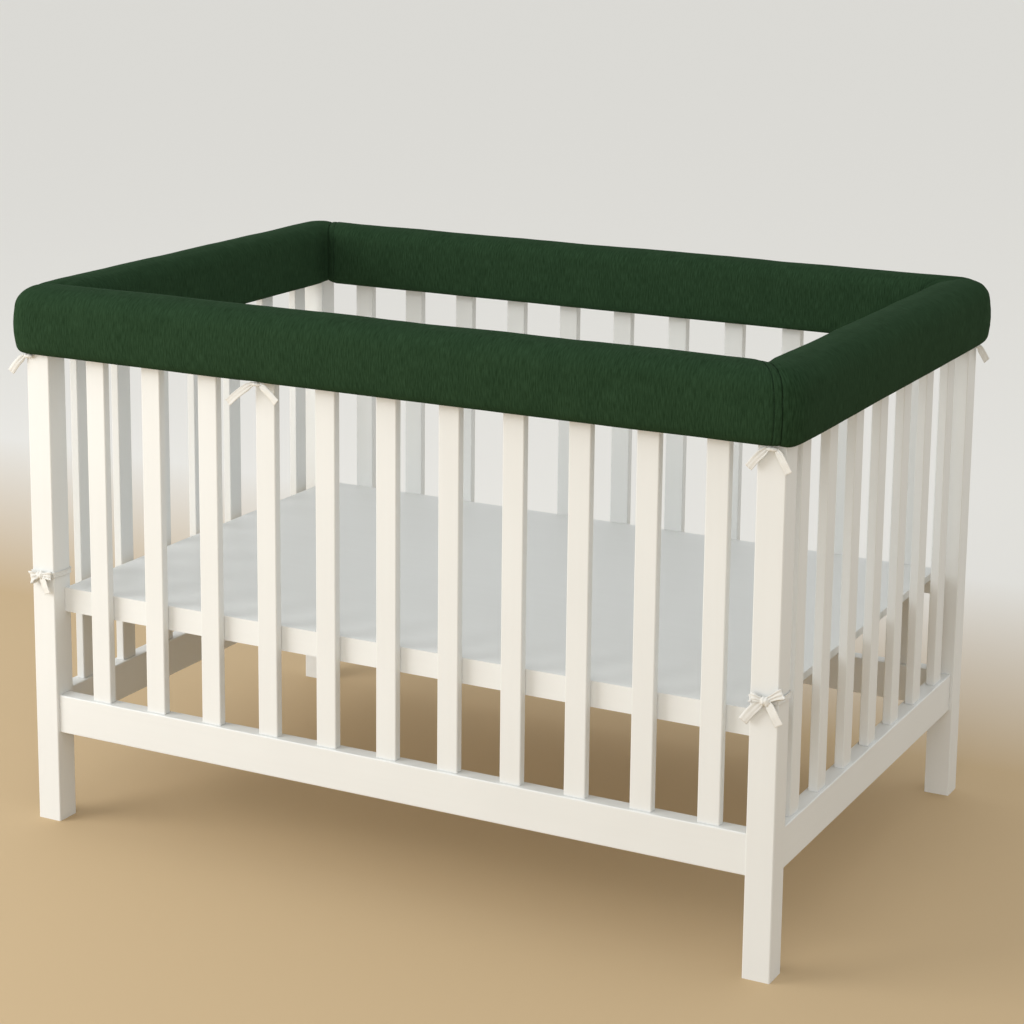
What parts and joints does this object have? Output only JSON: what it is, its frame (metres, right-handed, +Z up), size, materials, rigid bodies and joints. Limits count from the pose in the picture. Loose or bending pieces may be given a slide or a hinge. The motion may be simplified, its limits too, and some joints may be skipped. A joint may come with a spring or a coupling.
{
  "type": "crib rail cover on a crib",
  "caption": "Padded dark green cloth covers wrapped over the top rails of a plain white slatted crib and tied under the rails with short ribbons.",
  "frame": {"origin": "on the floor, under the middle of the crib", "axes": "+Z up, X along the long sides with the front long side at -Y, Y across the crib"},
  "size_m": [1.3549, 0.923, 0.898],
  "materials": {
    "cover_cloth": "matte brushed knit, dark green",
    "white_paint": "satin paint on wood, warm white",
    "ribbon": "matte cotton tape, cream white"
  },
  "bodies": {
    "root": {"post_front_left": "white_paint", "post_front_right": "white_paint", "post_back_left": "white_paint", "post_back_right": "white_paint", "rail_top_front": "white_paint", "rail_top_back": "white_paint", "rail_top_left": "white_paint", "rail_top_right": "white_paint", "rail_low_front": "white_paint", "rail_low_back": "white_paint", "rail_low_left": "white_paint", "rail_low_right": "white_paint", "slat_front_1": "white_paint", "slat_front_2": "white_paint", "slat_front_3": "white_paint", "slat_front_4": "white_paint", "slat_front_5": "white_paint", "slat_front_6": "white_paint", "slat_front_7": "white_paint", "slat_front_8": "white_paint", "slat_front_9": "white_paint", "slat_front_10": "white_paint", "slat_front_11": "white_paint", "slat_back_1": "white_paint", "slat_back_2": "white_paint", "slat_back_3": "white_paint", "slat_back_4": "white_paint", "slat_back_5": "white_paint", "slat_back_6": "white_paint", "slat_back_7": "white_paint", "slat_back_8": "white_paint", "slat_back_9": "white_paint", "slat_back_10": "white_paint", "slat_back_11": "white_paint", "slat_left_1": "white_paint", "slat_left_2": "white_paint", "slat_left_3": "white_paint", "slat_left_4": "white_paint", "slat_left_5": "white_paint", "slat_left_6": "white_paint", "slat_left_7": "white_paint", "slat_right_1": "white_paint", "slat_right_2": "white_paint", "slat_right_3": "white_paint", "slat_right_4": "white_paint", "slat_right_5": "white_paint", "slat_right_6": "white_paint", "slat_right_7": "white_paint", "base_board": "white_paint", "cover_front": "cover_cloth", "cover_back": "cover_cloth", "cover_left": "cover_cloth", "cover_right": "cover_cloth", "tie_front_left": "ribbon", "tie_front_middle": "ribbon", "tie_front_right": "ribbon", "tie_back_right": "ribbon", "bow_front_left": "ribbon", "bow_front_right": "ribbon"}
  },
  "joints": []
}
